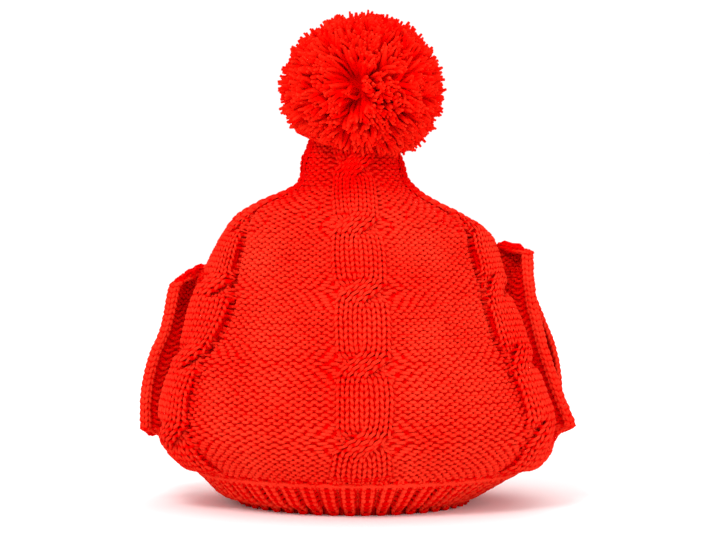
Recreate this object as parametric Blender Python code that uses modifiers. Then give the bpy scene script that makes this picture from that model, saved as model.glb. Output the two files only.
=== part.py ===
"""A knitted tea cosy: two cable-knit panels with a ribbed hem, open slits for spout and handle, and a pompom.

Run with: blender --background --python part.py
The cosy stands on its hem at z = 0. +X is the handle side, -X the spout side, -Y the front.
Lengths in the tables are millimetres; MM turns them into Blender's metres.
"""
import math

import bmesh
import bpy
import numpy as np

MM = 0.001

# --- driving dimensions ---------------------------------------------------------------------
ROW = 2.88  # height of one knitted row
KNIT = 2.6  # thickness of the knitted cloth
SEAM_HALF_GAP = 0.2  # each panel stops this far from the seam plane
HEM_STAND = 1.5  # the lowest strip of the hem stands upright
BAND_TOP = 16.0  # the ribbed band ends here
RIBS = 23  # knit-and-purl pairs across one panel's band
RIB_RELIEF = 0.9  # ribs stand out, and sink in, by this much
CABLE_RELIEF = 3.2  # a cable strand stands out by this much
CABLE_STITCHES = 6
FIRST_CROSSING = 8.0  # rows above the band
CROSSING_EVERY = 12.0  # rows
BEAD = 3.9  # outer radius of the rolled slit edge
BEAD_START = math.radians(-40)
BEAD_TURN = math.radians(230)
GROOVE = 3.2  # depth of the purl groove between the bead and the side cable
SPOUT_GAP = 25.0  # clear width of the slit at the spout
HANDLE_GAP = 17.0  # and at the handle

# One row for each level of the closed oval that the two panels make together.
LEVEL_COLUMNS = ("z", "spout_side", "handle_side", "front", "back")
LEVELS = (
    (0.0, 56.5, 52.5, 52.0, 52.0),
    (1.5, 56.5, 52.5, 52.0, 52.0),
    (4.7, 65.0, 58.5, 56.5, 56.5),
    (9.4, 70.5, 67.0, 60.5, 60.0),
    (14.1, 74.5, 74.5, 64.0, 63.5),
    (18.9, 80.5, 83.0, 67.5, 67.0),
    (23.5, 87.0, 89.5, 70.5, 70.0),
    (28.0, 91.5, 93.0, 73.0, 72.5),
    (34.0, 95.0, 95.5, 75.5, 75.0),
    (42.0, 96.0, 95.5, 77.5, 77.0),
    (53.0, 94.5, 92.0, 77.5, 77.5),
    (72.0, 90.0, 87.0, 73.5, 74.0),
    (94.0, 83.0, 80.0, 65.0, 66.0),
    (108.0, 74.0, 72.0, 57.5, 58.5),
    (118.0, 68.0, 66.5, 51.5, 52.0),
    (127.0, 62.5, 60.5, 45.5, 46.0),
    (132.0, 59.0, 52.0, 42.0, 42.5),
    (136.6, 53.5, 45.0, 38.0, 38.5),
    (141.3, 44.5, 35.0, 33.5, 34.0),
    (146.0, 33.0, 27.5, 28.5, 29.0),
    (150.0, 27.0, 23.5, 24.5, 25.0),
    (155.0, 26.0, 21.5, 22.0, 22.5),
    (158.5, 26.5, 20.0, 20.5, 21.0),
    (160.6, 22.0, 16.5, 16.5, 17.0),
    (161.4, 12.0, 10.0, 10.0, 10.0),
    (161.7, 3.5, 3.5, 3.5, 3.5),
)

# Arc widths of what crosses a panel at each level, how far the centre cable strays sideways, and
# how far the flanks are drawn out flat toward the slits: 0 is an oval, 1 a straight-sided lens.
WIDTH_COLUMNS = ("z", "edge_spout", "edge_handle", "cable_spout", "cable_handle", "centre_half", "centre_shift", "lens")
WIDTHS = (
    (0.0, 18.0, 18.0, 26.0, 26.0, 12.5, 0.5, 0.0),
    (16.0, 18.0, 18.0, 26.5, 26.5, 12.8, 1.5, 0.0),
    (30.0, 20.0, 20.0, 26.5, 26.5, 12.0, 2.5, 0.0),
    (53.0, 20.5, 20.5, 26.0, 26.0, 11.5, 3.2, 0.03),
    (94.0, 19.0, 20.0, 26.5, 26.5, 10.9, 2.4, 0.20),
    (104.0, 14.0, 18.0, 26.5, 26.5, 10.8, 2.0, 0.24),
    (112.0, 9.0, 13.0, 26.0, 26.0, 10.7, 1.6, 0.24),
    (120.0, 6.0, 10.0, 24.5, 23.0, 10.6, 1.2, 0.22),
    (127.0, 3.5, 4.0, 22.0, 18.5, 10.6, 0.9, 0.18),
    (133.0, 2.4, 2.2, 20.0, 14.5, 10.6, 0.8, 0.14),
    (141.0, 2.0, 1.8, 17.0, 13.0, 10.6, 0.7, 0.06),
    (155.0, 1.8, 1.6, 13.0, 12.0, 10.3, 0.6, 0.0),
    (161.7, 0.3, 0.3, 1.7, 1.7, 1.6, 0.0, 0.0),
)
PINCH = 0.14  # a cable is this share narrower than its mean at a crossing, and wider between

# How far the rolled slit edges stand out sideways, and the heights at which each slit closes.
LIP_COLUMNS = ("z", "reach")
SPOUT_LIP = (
    (30.0, 97.0),
    (36.0, 101.8),
    (44.0, 102.0),
    (52.0, 101.6),
    (62.0, 99.8),
    (71.0, 97.2),
    (80.0, 93.2),
    (90.0, 90.6),
    (99.0, 89.0),
    (104.0, 87.4),
    (108.0, 84.5),
    (114.0, 79.5),
)
HANDLE_LIP = (
    (30.0, 98.0),
    (37.0, 102.0),
    (43.0, 100.0),
    (50.0, 97.0),
    (60.0, 93.4),
    (72.0, 89.5),
    (84.0, 86.4),
    (96.0, 83.6),
    (110.0, 82.2),
    (121.0, 81.8),
)
HANDLE_LIP_BACK = (
    (30.0, 96.0),
    (37.0, 98.0),
    (50.0, 97.8),
    (60.0, 97.0),
    (72.0, 94.4),
    (84.0, 89.8),
    (96.0, 85.0),
    (110.0, 80.5),
    (121.0, 79.0),
)
SLIT_COLUMNS = ("spout_low", "spout_high", "handle_low", "handle_high")
SLITS = {"front": (30.5, 110.5, 31.5, 121.0), "back": (31.0, 114.5, 32.0, 118.5)}
SLIT_OPENS_IN = 5.0  # millimetres of height at its foot
SLIT_CLOSES_IN = 2.5  # and at its head

# Across a panel: rolled edge, purl margin, side cable, purl ground, centre cable, and back again.
SEGMENTS = ("roll", "margin", "cable", "ground", "cable", "ground", "cable", "margin", "roll")
# Where a body row has its points inside each segment, as shares of that segment.
CUTS_ACROSS = {
    "roll": (0.25, 0.5, 0.75),
    "margin": (0.5, 0.84),
    "cable": (1 / 6, 2 / 6, 3 / 6, 4 / 6, 5 / 6),
    "ground": (0.05, 0.35, 0.65, 0.95),
}
BAND_LEVELS = (0.0, 1.5, 6.0, 11.0, 14.9)
BODY_ROWS_A_STRIP = 2.0
SLIT_HEAD_LEVELS = (110.2, 112.6, 118.2, 120.8)
TOP_LEVELS = (158.2, 160.6, 161.4, 161.7)

POMPOM_CENTRE = (2.1, -1.5, 193.5)
POMPOM_RADII = (41.4, 40.0, 37.6)
POMPOM_CORE = 24.0
POMPOM_SEAT = 26.0  # radius of the patch that sits on the neck
POMPOM_FLOOR = 162.05  # and its height
LOCKS_A_SIDE = 7  # 7 x 7 locks on each side of a cube that is blown up to a ball
LOCK_FILL = 0.86  # a lock is this much as wide as its root
LOCK_UNEVEN = 0.30  # the shortest locks lose this share of their length
PARTING = (-0.06, -0.99, -0.10)  # the hollow over the pompom's tie
SEED = 11


def column(table, names, name):
    """One named column of a table, as an array."""
    return np.array([row[names.index(name)] for row in table], float)


def smooth(table, names, name, z):
    """A table's column at the heights z, on a smooth curve that never overshoots its rows."""
    at, value = column(table, names, "z"), column(table, names, name)
    step = np.diff(at)
    slope = np.diff(value) / step
    inner = np.where(slope[:-1] * slope[1:] > 0,
                     2 * slope[:-1] * slope[1:] / np.where(slope[:-1] + slope[1:] == 0, 1, slope[:-1] + slope[1:]), 0)
    tangent = np.concatenate([slope[:1], inner, slope[-1:]])
    z = np.clip(z, at[0], at[-1])
    i = np.clip(np.searchsorted(at, z, side="right") - 1, 0, len(at) - 2)
    t = (z - at[i]) / step[i]
    return (value[i] * (1 + 2 * t) * (1 - t) ** 2 + tangent[i] * step[i] * t * (1 - t) ** 2
            + value[i + 1] * t * t * (3 - 2 * t) + tangent[i + 1] * step[i] * t * t * (t - 1))


def ease(t):
    """0 below 0, 1 above 1, and a soft step between."""
    t = np.clip(t, 0, 1)
    return t * t * (3 - 2 * t)


def row_of(z):
    """How many rows above the band the height z is, counted up the front."""
    at = np.linspace(BAND_TOP, LEVELS[-1][0], 400)
    out = smooth(LEVELS, LEVEL_COLUMNS, "front", at)
    length = np.concatenate([[0], np.cumsum(np.hypot(np.diff(at), np.diff(out)))])
    return np.interp(z, at, length) / ROW


def height_of(row):
    """The height of a row counted up the front from the band."""
    at = np.linspace(BAND_TOP, LEVELS[-1][0], 400)
    return np.interp(row, row_of(at), at)


def oval_point(arc, half_width, depth, quarter, lens):
    """A point of a quarter oval, arc millimetres away from the front centre line."""
    lean = (half_width - depth) / (half_width + depth)
    turn = (math.pi / 2) * (1 - arc / quarter)
    angle = turn + lean / 2 * np.sin(2 * turn)
    across = np.cos(angle) * (1 - lens) + (1 - np.sin(angle)) * lens
    return half_width * across, -depth * np.sin(angle)


def quarter_arc(half_width, depth):
    lean = (half_width - depth) / (half_width + depth)
    return (half_width + depth) / 2 * (math.pi / 2) * (1 + lean * lean / 4)


def cable_relief(across, rows):
    """How far a cable stands out. across runs from 0 to 1 over its six stitches.

    Between crossings it is one broad lobe; at a crossing the strand that starts low on the left
    climbs over the other one to the right.
    """
    off = (rows - FIRST_CROSSING + CROSSING_EVERY / 2) % CROSSING_EVERY - CROSSING_EVERY / 2
    swing = 0.25 * np.sin(np.clip(off / 2.8, -1, 1) * math.pi / 2)
    over = np.exp(-((off / 2.4) ** 2))

    def strand(centre, height):
        return height * np.sqrt(np.clip(1 - ((across - centre) / 0.28) ** 2, 0, 1))

    lobe = CABLE_RELIEF * np.sqrt(np.clip(1 - ((across - 0.5) / 0.53) ** 2, 0, 1)) * (1 - over)
    climbing = strand(0.5 + swing, CABLE_RELIEF + 0.9 * over)
    passing_under = strand(0.5 - swing, CABLE_RELIEF - 2.2 * over)
    return np.maximum(lobe, np.maximum(climbing, passing_under))


def borders_of_segments(side, z):
    """Arcs from the front centre line to the ten borders between a panel's segments, and both quarter arcs."""
    hands = ("spout", "handle") if side == "front" else ("handle", "spout")
    deep = smooth(LEVELS, LEVEL_COLUMNS, side, z)
    width = {name: smooth(WIDTHS, WIDTH_COLUMNS, name, z) for name in WIDTH_COLUMNS[1:]}
    to_body = ease((z - BAND_TOP) / 5)
    turn = (row_of(z) - FIRST_CROSSING) / CROSSING_EVERY * 2 * math.pi
    swell = 1 - PINCH * np.cos(turn) * to_body
    borders, quarters = [], []
    for hand in hands:
        wide = smooth(LEVELS, LEVEL_COLUMNS, hand + "_side", z)
        quarter = quarter_arc(wide, deep)
        edge, cable = width["edge_" + hand], width["cable_" + hand]
        middle = edge + cable / 2
        borders.append([quarter, quarter - edge * 4 / 7, quarter - middle + cable / 2 * swell,
                        quarter - middle - cable / 2 * swell])
        quarters.append(quarter)
    shift = width["centre_shift"] * (1 if side == "front" else -0.6)
    half = width["centre_half"] * swell
    left = [-arc for arc in borders[0]]
    return left + [shift - half, shift + half] + borders[1][::-1], quarters, width["lens"]


def panel_points(side, place, z):
    """Outer surface of one panel, as its own wearer sees it: x to the right, y away.

    place runs from 0 to 9 across the nine segments; place and z have the same shape.
    """
    hands = ("spout", "handle") if side == "front" else ("handle", "spout")
    deep = smooth(LEVELS, LEVEL_COLUMNS, side, z)
    wide = [smooth(LEVELS, LEVEL_COLUMNS, hand + "_side", z) for hand in hands]
    borders, quarters, lens = borders_of_segments(side, z)
    arc = np.zeros_like(place)
    for k in range(9):
        part = np.clip(place - k, 0, 1)
        arc = np.where(place >= k, borders[k] * (1 - part) + borders[k + 1] * part, arc)

    half_width = np.where(arc < 0, wide[0], wide[1])
    quarter_here = np.where(arc < 0, quarters[0], quarters[1])
    x, y = oval_point(np.abs(arc), half_width, deep, quarter_here, lens)
    x, y = x * np.where(arc < 0, -1, 1), y - SEAM_HALF_GAP

    # Outward direction of the oval, and the relief that stands on it.
    nx, ny = x / half_width**2, y / deep**2
    length = np.hypot(nx, ny)
    out = relief(place, z, row_of(z))
    x, y = x + nx / length * out, y + ny / length * out

    lip_x, lip_y, lip_share = slit_lip(side, place, z, wide, deep, borders, quarters, lens)
    x = x * (1 - lip_share) + lip_x * lip_share
    y = y * (1 - lip_share) + lip_y * lip_share
    return x, y


def relief(place, z, rows):
    """How far the knit stands out from the plain oval: cables, ribs and the uneven lie of the cloth."""
    out = np.zeros_like(place)
    body = ease((z - BAND_TOP) / 4) * (1 - ease((z - 156) / 4))
    for k, name in enumerate(SEGMENTS):
        if name == "cable":
            inside = (place >= k) & (place <= k + 1)
            out = np.where(inside, cable_relief(place - k, rows) * body, out)
    uneven = (0.7 * np.sin(place * 2.1 + z * 0.045) + 0.5 * np.sin(place * 3.7 - z * 0.08 + 1.3)) * body
    # The ground sinks beside the centre cable where the neck is drawn together.
    beside = np.exp(-(((np.abs(place - 4.5) - 0.72) / 0.22) ** 2))
    drawn_in = -2.2 * beside * ease((z - 132) / 12) * (1 - ease((z - 157) / 3))
    inner = ease(np.minimum(place, 9 - place) / 1.2)
    return out + (uneven + drawn_in) * inner


def slit_lip(side, place, z, wide, deep, borders, quarters, lens):
    """Where the outer stitches lie along a slit: up from the groove, then round the rolled edge."""
    low_high = dict(zip(SLIT_COLUMNS, SLITS[side]))
    lip_x, lip_y, share = np.zeros_like(place), np.zeros_like(place), np.zeros_like(place)
    for hand, s in enumerate((-1, 1)):
        at_spout = (s < 0) == (side == "front")
        name = "spout" if at_spout else "handle"
        gap = SPOUT_GAP if at_spout else HANDLE_GAP
        table = SPOUT_LIP if at_spout else HANDLE_LIP if side == "front" else HANDLE_LIP_BACK
        reach = smooth(table, LIP_COLUMNS, "reach", z)
        bead_x, bead_y = reach - BEAD, -(gap / 2 + BEAD)
        edge_arc = np.abs(borders[2] if s < 0 else borders[7])
        edge_x, edge_y = oval_point(edge_arc, wide[hand], deep, quarters[hand], lens)
        from_edge = place if s < 0 else 9 - place  # 0 at the cloth's end, 2 at the cable

        turn = BEAD_START - BEAD_TURN * np.clip(1 - from_edge, 0, 1)
        # The bead is drawn for the left side and mirrored for the right.
        round_x, round_y = -bead_x + BEAD * np.cos(turn), bead_y + BEAD * np.sin(turn)
        start_x = -bead_x + BEAD * math.cos(BEAD_START)
        start_y = bead_y + BEAD * math.sin(BEAD_START)
        middle_x, middle_y = (start_x - edge_x) / 2, (start_y + edge_y) / 2
        across = np.hypot(start_x + edge_x, start_y - edge_y)
        dip_x = middle_x + (start_y - edge_y) / across * -GROOVE
        dip_y = middle_y + (start_x + edge_x) / across * GROOVE
        pull_x, pull_y = 2 * dip_x - middle_x, 2 * dip_y - middle_y
        t = np.clip(2 - from_edge, 0, 1)
        groove_x = -edge_x * (1 - t) ** 2 + 2 * pull_x * t * (1 - t) + start_x * t * t
        groove_y = edge_y * (1 - t) ** 2 + 2 * pull_y * t * (1 - t) + start_y * t * t

        here = from_edge < 2
        rolled = from_edge < 1
        side_x = np.where(rolled, round_x, groove_x)
        side_y = np.where(rolled, round_y, groove_y)
        low, high = low_high[name + "_low"], low_high[name + "_high"]
        open_here = ease((z - low) / SLIT_OPENS_IN) * ease((high - z) / SLIT_CLOSES_IN)
        lip_x = np.where(here, -s * side_x, lip_x)
        lip_y = np.where(here, side_y, lip_y)
        share = np.where(here, open_here, share)
    return lip_x, lip_y, share


def body_places():
    """Where a body row has its points, from 0 to 9 across the segments."""
    found = [0.0]
    for k, name in enumerate(SEGMENTS):
        cuts = CUTS_ACROSS[name]
        if k > 4:
            cuts = [1 - cut for cut in reversed(cuts)]
        found += [k + cut for cut in cuts] + [k + 1.0]
    return np.array(found)


def band_places(side, z):
    """Where a row of the ribbed band has its points: evenly round the oval, one for each stitch."""
    fine = np.linspace(0, 9, 600)
    x, y = panel_points(side, fine, np.full_like(fine, z))
    length = np.concatenate([[0], np.cumsum(np.hypot(np.diff(x), np.diff(y)))])
    return np.interp(np.linspace(0, length[-1], 2 * RIBS + 1), length, fine)


def rib_wave(count):
    """Out on a knit stitch, in on a purl stitch, and level at both seams."""
    wave = np.where(np.arange(count) % 2 == 0, -1.0, 1.0)
    wave[0] = wave[-1] = 0.0
    return wave


def rows_of_panel(side):
    """Every row of the panel as an array of points in millimetres, from the hem to the top."""
    rows = []
    for z in BAND_LEVELS:
        places = band_places(side, z)
        x, y = panel_points(side, places, np.full_like(places, z))
        out = rib_wave(len(places)) * RIB_RELIEF
        length = np.hypot(x, y)
        rows.append(np.stack([x + x / length * out, y + y / length * out, np.full_like(x, z)], 1))
    places = body_places()
    even = [float(height_of(r)) for r in np.arange(0, row_of(TOP_LEVELS[0]) - 0.6, BODY_ROWS_A_STRIP)]
    heads = [z for z in even if min(abs(z - head) for head in SLIT_HEAD_LEVELS) > 1.2]
    for z in sorted(heads + list(SLIT_HEAD_LEVELS)) + list(TOP_LEVELS):
        x, y = panel_points(side, places, np.full_like(places, z))
        rows.append(np.stack([x, y, np.full_like(x, z)], 1))
    return rows


def zip_rows(lower, upper):
    """Triangles or quads between two rows of vertices, which may differ in number."""
    if len(lower) == len(upper):
        return [(lower[i], lower[i + 1], upper[i + 1], upper[i]) for i in range(len(lower) - 1)]
    faces, i, j = [], 0, 0
    while i < len(lower) - 1 or j < len(upper) - 1:
        next_low = (i + 1) / (len(lower) - 1)
        next_up = (j + 1) / (len(upper) - 1)
        if j == len(upper) - 1 or (i < len(lower) - 1 and next_low <= next_up):
            faces.append((lower[i], lower[i + 1], upper[j]))
            i += 1
        else:
            faces.append((lower[i], upper[j + 1], upper[j]))
            j += 1
    return faces


def make_material(name, colour, roughness):
    material = bpy.data.materials.new(name)
    material.use_nodes = True
    shader = material.node_tree.nodes["Principled BSDF"]
    shader.inputs["Base Color"].default_value = (*colour, 1.0)
    shader.inputs["Roughness"].default_value = roughness
    shader.inputs["Metallic"].default_value = 0.0
    return material


def make_object(name, mesh, material, collection):
    made = bpy.data.objects.new(name, mesh)
    made.data.materials.append(material)
    collection.objects.link(made)
    return made


def make_panel(side, material, collection):
    """One knitted panel: its outer face is lofted row by row, and Solidify gives it the cloth's thickness."""
    turn = 1 if side == "front" else -1
    bm = bmesh.new()
    rings = []
    for row in rows_of_panel(side):
        rings.append([bm.verts.new((turn * x * MM, turn * y * MM, z * MM)) for x, y, z in row])
    for lower, upper in zip(rings, rings[1:]):
        for corners in zip_rows(lower, upper):
            bm.faces.new(corners)
    mesh = bpy.data.meshes.new(side + "_face")
    bm.to_mesh(mesh)
    bm.free()
    face = make_object(side + "_face", mesh, material, collection)
    cloth = face.modifiers.new("Cloth thickness", "SOLIDIFY")
    cloth.thickness = KNIT * MM
    cloth.offset = -1.0

    graph = bpy.context.evaluated_depsgraph_get()
    solid = bpy.data.meshes.new_from_object(face.evaluated_get(graph))
    bpy.data.objects.remove(face)
    stop_at_seam(solid, turn)
    return make_object(side + "_panel", solid, material, collection)


def stop_at_seam(mesh, turn):
    """Keeps the panel's edge faces on their own side of the seam plane, and the hem's face on the table."""
    for vertex in mesh.vertices:
        away = -turn * vertex.co.y
        if away < SEAM_HALF_GAP * MM:
            vertex.co.y = -turn * SEAM_HALF_GAP * MM
        if vertex.co.z < HEM_STAND / 2 * MM:
            vertex.co.z = 0.0


def pompom_reach(direction):
    """Distance from the pompom's centre to its trimmed surface in a direction."""
    flat = math.hypot(direction[0], direction[1])
    reach = 1 / float(np.linalg.norm(direction / np.array(POMPOM_RADII)))
    if direction[2] < 0:
        seated = POMPOM_SEAT / max(flat, 0.01)
        floor = (POMPOM_FLOOR - POMPOM_CENTRE[2]) / direction[2]
        reach = min(max(reach, seated), floor)
    hollow = float(np.dot(direction, np.array(PARTING) / np.linalg.norm(PARTING)))
    return reach * (1 - 0.26 * float(ease((hollow - 0.93) / 0.07)))


def make_pompom(material, collection):
    """A ball of wool locks: each square of a blown-up cube grows into one pointed lock, fused at its root."""
    rng = np.random.default_rng(SEED)
    bm = bmesh.new()
    bmesh.ops.create_cube(bm, size=2.0)
    bmesh.ops.subdivide_edges(bm, edges=bm.edges[:], cuts=LOCKS_A_SIDE - 1, use_grid_fill=True)
    cell = math.pi / 2 / LOCKS_A_SIDE
    for vertex in bm.verts:
        even = np.tan(np.array(vertex.co) * math.pi / 4)
        uneven = even / np.linalg.norm(even) + rng.uniform(-0.24, 0.24, 3) * cell
        vertex.co = uneven / np.linalg.norm(uneven) * POMPOM_CORE
    roots = bm.faces[:]
    grown = bmesh.ops.extrude_discrete_faces(bm, faces=roots)["faces"]
    axes = []
    for lock in grown:
        axis = np.array(lock.calc_center_median())
        axis = axis / np.linalg.norm(axis)
        reach = pompom_reach(axis)
        uneven = 0.0 if axis[2] < -0.6 else rng.uniform(0.0, LOCK_UNEVEN)
        reach = POMPOM_CORE + (reach - POMPOM_CORE) * (1 - uneven)
        shoulder = POMPOM_CORE + (reach - POMPOM_CORE) * (0.88 if axis[2] < -0.6 else 0.7)
        for vertex in lock.verts:
            spoke = np.array(vertex.co) / POMPOM_CORE
            spoke = axis + (spoke - axis) * LOCK_FILL
            vertex.co = spoke / np.linalg.norm(spoke) * shoulder
        axes.append((axis, reach))
    tips = bmesh.ops.poke(bm, faces=grown)["verts"]
    for tip in tips:
        here = np.array(tip.co) / np.linalg.norm(tip.co)
        axis, reach = min(axes, key=lambda found: np.linalg.norm(found[0] - here))
        tip.co = axis * reach
    for vertex in bm.verts:
        vertex.co = (np.array(vertex.co) + np.array(POMPOM_CENTRE)) * MM
    mesh = bpy.data.meshes.new("pompom")
    bm.to_mesh(mesh)
    bm.free()
    return make_object("pompom", mesh, material, collection)


def main():
    for old in list(bpy.data.objects):
        bpy.data.objects.remove(old)
    parts = bpy.data.collections.new("Tea cosy")
    bpy.context.scene.collection.children.link(parts)
    knit = make_material("Red knit", (0.83, 0.02, 0.01), 0.85)
    wool = make_material("Red pompom wool", (0.78, 0.012, 0.006), 0.9)
    for side in ("front", "back"):
        make_panel(side, knit, parts)
    make_pompom(wool, parts)


main()
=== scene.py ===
# %% [markdown]
# # A knitted tea cosy, stitch by stitch
#
# The cosy is two cable-knit panels that meet at the spout and at the handle, with a ribbed hem below
# and a pompom on top. Each row of each panel is one length of yarn that loops up and down through its
# neighbours. A texture could fake that, but the loops are what the eye sees on chunky knitwear, so here
# every stitch is real yarn, laid on a form that follows the solid model.

# %% Load the solid model, each part kept where it stands
import math

import bmesh
import bpy
import numpy as np
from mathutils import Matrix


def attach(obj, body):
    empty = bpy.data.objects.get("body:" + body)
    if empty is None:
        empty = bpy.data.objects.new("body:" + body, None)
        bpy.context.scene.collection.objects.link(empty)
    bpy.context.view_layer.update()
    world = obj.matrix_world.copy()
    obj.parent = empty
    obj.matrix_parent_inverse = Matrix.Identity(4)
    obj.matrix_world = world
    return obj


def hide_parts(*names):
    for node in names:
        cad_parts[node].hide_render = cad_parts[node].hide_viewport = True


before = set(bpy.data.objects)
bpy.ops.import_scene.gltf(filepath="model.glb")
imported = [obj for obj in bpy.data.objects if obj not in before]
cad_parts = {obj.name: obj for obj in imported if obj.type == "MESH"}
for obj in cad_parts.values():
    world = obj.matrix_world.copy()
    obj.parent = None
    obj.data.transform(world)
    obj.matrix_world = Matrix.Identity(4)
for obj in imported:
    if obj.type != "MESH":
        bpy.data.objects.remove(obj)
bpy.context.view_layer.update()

MM = 0.001  # sizes are written in millimetres, and Blender wants metres

# %% [markdown]
# ## Camera
#
# A long lens a little over a metre away, level with the neck, looks very slightly down, so the hem
# shows as a shallow curve. The camera comes first: everything after it is judged through it.

# %% Camera
CAMERA_AWAY = 1200 * MM
CAMERA_HEIGHT = 170 * MM
AIM = (-1.4 * MM, 0.0, 110.5 * MM)
LENS_MM = 129.5
SENSOR_MM = 36.0


def put(name, data):
    """A new object in the scene."""
    made = bpy.data.objects.new(name, data)
    bpy.context.scene.collection.objects.link(made)
    return made


camera = put("camera", bpy.data.cameras.new("camera"))
camera.data.lens = LENS_MM
camera.data.sensor_width = SENSOR_MM
camera.location = (0.0, -CAMERA_AWAY, CAMERA_HEIGHT)
look_down = math.atan2(CAMERA_HEIGHT - AIM[2], CAMERA_AWAY)
look_left = math.atan2(-AIM[0], CAMERA_AWAY)
camera.rotation_euler = (math.pi / 2 - look_down, 0.0, look_left)
bpy.context.scene.camera = camera
bpy.context.scene.view_settings.view_transform = "Standard"
print("camera looks down by", round(math.degrees(look_down), 2), "degrees")

# %% [markdown]
# ## The form the cloth hangs in
#
# The cloth takes its shape from the pot underneath: an oval that is widest low down, drawn flat toward
# the slits, and gathered to a neck. Each table has one entry for a level, and a curve passes smoothly
# between them without overshooting, as stretched cloth does.

# %% Levels of the closed oval
LEVEL_COLUMNS = ("z", "spout_side", "handle_side", "front", "back")
LEVELS = (
    (0.0, 56.5, 52.5, 52.0, 52.0), (1.5, 56.5, 52.5, 52.0, 52.0), (4.7, 65.0, 58.5, 56.5, 56.5),
    (9.4, 70.5, 67.0, 60.5, 60.0), (14.1, 74.5, 74.5, 64.0, 63.5), (18.9, 80.5, 83.0, 67.5, 67.0),
    (23.5, 87.0, 89.5, 70.5, 70.0), (28.0, 91.5, 93.0, 73.0, 72.5), (34.0, 95.0, 95.5, 75.5, 75.0),
    (42.0, 96.0, 95.5, 77.5, 77.0), (53.0, 94.5, 92.0, 77.5, 77.5), (72.0, 90.0, 87.0, 73.5, 74.0),
    (94.0, 83.0, 80.0, 65.0, 66.0), (108.0, 74.0, 72.0, 57.5, 58.5), (118.0, 68.0, 66.5, 51.5, 52.0),
    (127.0, 62.5, 60.5, 45.5, 46.0), (132.0, 59.0, 52.0, 42.0, 42.5), (136.6, 53.5, 45.0, 38.0, 38.5),
    (141.3, 44.5, 35.0, 33.5, 34.0), (146.0, 33.0, 27.5, 28.5, 29.0), (150.0, 27.0, 23.5, 24.5, 25.0),
    (155.0, 26.0, 21.5, 22.0, 22.5), (160.0, 25.5, 20.0, 20.0, 20.5), (166.0, 24.0, 18.5, 17.5, 18.0),
    (170.0, 22.5, 17.5, 15.5, 16.0), (171.5, 14.0, 12.0, 10.0, 10.0), (172.0, 3.5, 3.5, 3.5, 3.5),
)
print(len(LEVELS), "levels, widest", max(row[1] + row[2] for row in LEVELS), "mm")

# %% Widths of what crosses a panel, level by level
# The edge and the cable beside each slit, half the centre cable, how far that cable strays sideways,
# and how far the flanks are drawn out flat toward the slits: 0 is an oval, 1 a straight-sided lens.
WIDTH_COLUMNS = ("z", "edge_spout", "edge_handle", "cable_spout", "cable_handle")
WIDTH_COLUMNS += ("centre_half", "centre_shift", "lens")
WIDTHS = (
    (0.0, 18.0, 18.0, 26.0, 26.0, 12.3, 0.5, 0.0),
    (16.0, 18.0, 18.0, 26.5, 26.5, 12.4, 1.2, 0.0),
    (30.0, 23.0, 23.0, 26.0, 26.0, 12.0, 2.0, 0.0),
    (40.0, 25.0, 26.0, 25.0, 25.0, 11.8, 2.5, 0.01),
    (53.0, 25.0, 25.5, 22.5, 22.0, 11.4, 3.0, 0.03),
    (65.0, 25.5, 26.5, 20.5, 20.0, 11.3, 2.7, 0.08),
    (78.0, 25.5, 25.0, 19.5, 19.0, 11.1, 2.2, 0.14),
    (94.0, 19.0, 22.5, 23.0, 16.0, 10.9, 1.7, 0.20),
    (104.0, 12.0, 16.0, 21.0, 16.0, 10.8, 1.2, 0.24),
    (112.0, 8.3, 10.5, 17.0, 16.0, 10.7, 0.6, 0.24),
    (120.0, 5.0, 6.4, 16.4, 16.5, 10.6, 0.1, 0.22),
    (127.0, 3.5, 3.1, 15.2, 14.5, 10.2, -0.5, 0.18),
    (133.0, 2.4, 2.0, 13.5, 9.5, 9.8, -0.9, 0.14),
    (141.0, 1.6, 1.4, 8.0, 6.5, 9.3, -1.5, 0.06),
    (155.0, 1.2, 1.2, 6.5, 6.5, 9.1, -2.1, 0.0),
    (170.0, 1.2, 1.2, 6.5, 6.5, 8.6, -2.2, 0.0),
    (172.0, 0.3, 0.3, 1.7, 1.7, 1.6, 0.0, 0.0),
)
print("centre cable at the hem:", 2 * WIDTHS[0][WIDTH_COLUMNS.index("centre_half")], "mm wide")

# %% Smooth reading of a table


def smooth(table, names, name, z):
    """A table's column at the heights z, on a smooth curve that never overshoots its rows."""
    at = np.array([row[names.index("z")] for row in table])
    value = np.array([row[names.index(name)] for row in table])
    step = np.diff(at)
    slope = np.diff(value) / step
    both = slope[:-1] * slope[1:]
    total = np.where(slope[:-1] + slope[1:] == 0, 1, slope[:-1] + slope[1:])
    inner = np.where(both > 0, 2 * both / total, 0)
    tangent = np.concatenate([slope[:1], inner, slope[-1:]])
    z = np.clip(z, at[0], at[-1])
    i = np.clip(np.searchsorted(at, z, side="right") - 1, 0, len(at) - 2)
    t = (z - at[i]) / step[i]
    rise = value[i] * (1 + 2 * t) * (1 - t) ** 2 + value[i + 1] * t * t * (3 - 2 * t)
    return rise + step[i] * (tangent[i] * t * (1 - t) ** 2 + tangent[i + 1] * t * t * (t - 1))


def ease(t):
    """0 below 0, 1 above 1, and a soft step between."""
    t = np.clip(t, 0, 1)
    return t * t * (3 - 2 * t)


def hump(t, power=2):
    """1 at 0, and softly down to 0 on both sides of it."""
    return np.exp(-(t**power))


def level(name, z):
    return smooth(LEVELS, LEVEL_COLUMNS, name, z)


def width(name, z):
    return smooth(WIDTHS, WIDTH_COLUMNS, name, z)


print("half width at 50 mm:", round(float(level("spout_side", np.array([50.0]))[0]), 1))

# %% [markdown]
# ## Rows
#
# A knitted row runs level round the pot, and rows are evenly spaced along the cloth, not in height. So
# the length of the cloth is measured up the front, and row 0 is where the ribbed band ends.

# %% Rows to heights, and back
ROW = 2.88  # height of a knitted row along the cloth
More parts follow.
